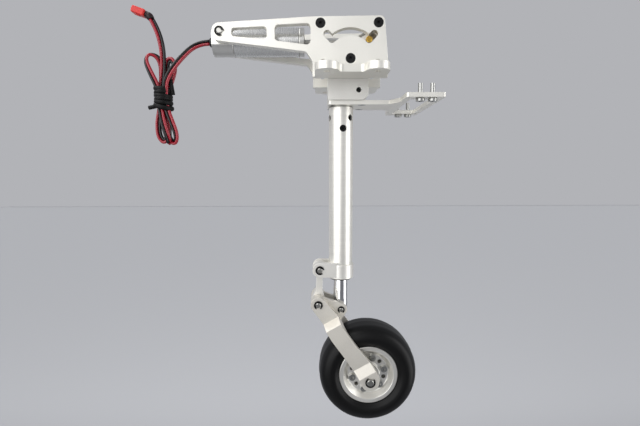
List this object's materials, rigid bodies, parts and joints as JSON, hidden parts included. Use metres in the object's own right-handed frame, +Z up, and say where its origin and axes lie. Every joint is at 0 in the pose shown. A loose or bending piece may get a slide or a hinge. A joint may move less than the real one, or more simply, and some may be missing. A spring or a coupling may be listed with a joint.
{
  "type": "landing gear strut",
  "caption": "Electric retractable landing gear leg with sprung strut, trailing fork, wheel and motor lead.",
  "frame": {"origin": "centre of the four flange holes, on the top mating face of the flanges", "axes": "+Z up along the leg, +X forward from the motor to the servo bracket, +Y to the far side plate"},
  "size_m": [0.1732, 0.0682, 0.2483],
  "materials": {
    "anodised_plate": "bead-blasted and clear anodised, satin",
    "anodised_block": "milled and clear anodised, satin",
    "anodised_tube": "clear anodised tube, soft sheen",
    "anodised_fork": "milled and clear anodised, satin",
    "turned_aluminium": "turned, bright",
    "turned_rim": "turned, fine rings",
    "ground_steel": "ground",
    "chromed_rod": "hard chromed and polished",
    "spring_steel": "drawn spring wire",
    "black_spring_steel": "black oxide",
    "black_steel": "black oxide",
    "zinc_screw": "bright zinc plated",
    "bearing_steel": "ground rings with metal shields",
    "brass": "machined brass",
    "motor_sleeve": "clear anodised tube, satin",
    "motor_can": "plated steel can",
    "black_acetal": "turned acetal",
    "black_rubber": "moulded rubber",
    "tyre_rubber": "moulded smooth rubber",
    "lead_wire": "red and black insulated twin lead",
    "black_tie": "coated twist tie",
    "red_plug": "moulded plug"
  },
  "bodies": {
    "frame": {"side_plate_near": "anodised_plate", "side_plate_far": "anodised_plate", "plate_posts": "turned_aluminium", "plate_screws": "zinc_screw", "pivot_pin": "ground_steel", "pivot_screws": "zinc_screw", "rear_pin": "ground_steel", "rear_pin_clips": "black_spring_steel", "rear_spacers": "turned_aluminium"},
    "actuator": {"motor_end_cap": "turned_aluminium", "motor_tube": "motor_sleeve", "motor_front_cap": "turned_aluminium", "motor_core": "motor_can", "gearbox": "motor_can", "cable_gland": "black_rubber", "motor_lead": "lead_wire", "lead_hank": "lead_wire", "lead_tie": "black_tie", "lead_tail": "lead_wire", "lead_connector": "red_plug"},
    "lead_screw": {"lead_screw": "ground_steel"},
    "drive_nut": {"drive_nut": "brass"},
    "trunnion": {"trunnion_block": "anodised_block", "pivot_bushes": "brass", "king_bush": "brass", "king_retainer": "black_steel", "pinch_screw": "black_steel", "servo_bracket": "anodised_plate", "servo_screws": "zinc_screw", "bracket_screws": "zinc_screw", "strut_washer": "brass"},
    "cross_pin": {"cross_pin": "brass"},
    "strut": {"strut_tube": "anodised_tube", "king_pin": "ground_steel", "tube_grub_screws": "black_steel", "lower_clamp": "anodised_block", "clamp_grub_screw": "black_steel", "clamp_pin": "ground_steel", "clamp_pin_clips": "black_spring_steel", "guide_bush": "brass", "strut_spring": "spring_steel"},
    "rod": {"piston_rod": "chromed_rod", "piston_head": "black_acetal"},
    "link": {"suspension_link": "anodised_block"},
    "fork": {"fork_arm_near": "anodised_fork", "fork_arm_far": "anodised_fork", "fork_bridge": "turned_aluminium", "link_pin": "ground_steel", "link_pin_clips": "black_spring_steel", "fork_pin": "ground_steel", "fork_pin_clips": "black_spring_steel", "axle": "ground_steel", "axle_clips": "black_spring_steel", "axle_spacers": "turned_aluminium"},
    "wheel": {"rim_near": "turned_rim", "rim_far": "turned_rim", "rim_screws": "zinc_screw", "rim_nuts": "zinc_screw", "wheel_bearings": "bearing_steel", "tyre": "tyre_rubber"}
  },
  "joints": [
    {"name": "gear_swing", "type": "hinge", "parent": "frame", "child": "trunnion", "pos_m": [0, 0, 0.0058], "axis": [0, -1, 0], "range_deg": [0, 90]},
    {"name": "actuator_tilt", "type": "hinge", "parent": "frame", "child": "actuator", "pos_m": [-0.0716, 0, 0.0202], "axis": [0, 1, 0], "range_deg": [0, 0.25]},
    {"name": "screw_spin", "type": "hinge", "parent": "actuator", "child": "lead_screw", "pos_m": [-0.04, 0, 0.019], "axis": [1, 0, 0], "continuous": true},
    {"name": "nut_slide", "type": "slide", "parent": "actuator", "child": "drive_nut", "axis": [-1, 0, 0], "range_m": [0, 0.02023]},
    {"name": "lock_stroke", "type": "slide", "parent": "trunnion", "child": "cross_pin", "axis": [0.7071, 0, 0.7071], "range_m": [0, 0.0039]},
    {"name": "steering", "type": "hinge", "parent": "trunnion", "child": "strut", "pos_m": [-0.0043, 0, -0.06], "axis": [0, 0, 1], "range_deg": [-30, 30]},
    {"name": "oleo_stroke", "type": "slide", "parent": "strut", "child": "rod", "axis": [0, 0, 1], "range_m": [0, 0.005], "stiffness_N_per_m": 4000, "springref_m": -0.002, "deforming": ["strut_spring"]},
    {"name": "link_swing", "type": "hinge", "parent": "strut", "child": "link", "pos_m": [-0.0171, 0, -0.1149], "axis": [0, -1, 0], "range_deg": [-2.19, 0]},
    {"name": "fork_swing", "type": "hinge", "parent": "rod", "child": "fork", "pos_m": [-0.0043, 0, -0.1392], "axis": [0, -1, 0], "range_deg": [0, 20.15]},
    {"name": "wheel_spin", "type": "hinge", "parent": "fork", "child": "wheel", "pos_m": [0.0122, 0, -0.1789], "axis": [0, 1, 0], "continuous": true}
  ],
  "couplings": [
    {"joint": "nut_slide", "follows": "gear_swing", "m_per_rad": 0.012875},
    {"joint": "link_swing", "follows": "oleo_stroke", "rad_per_m": -7.5049},
    {"joint": "fork_swing", "follows": "oleo_stroke", "rad_per_m": 69.641}
  ]
}
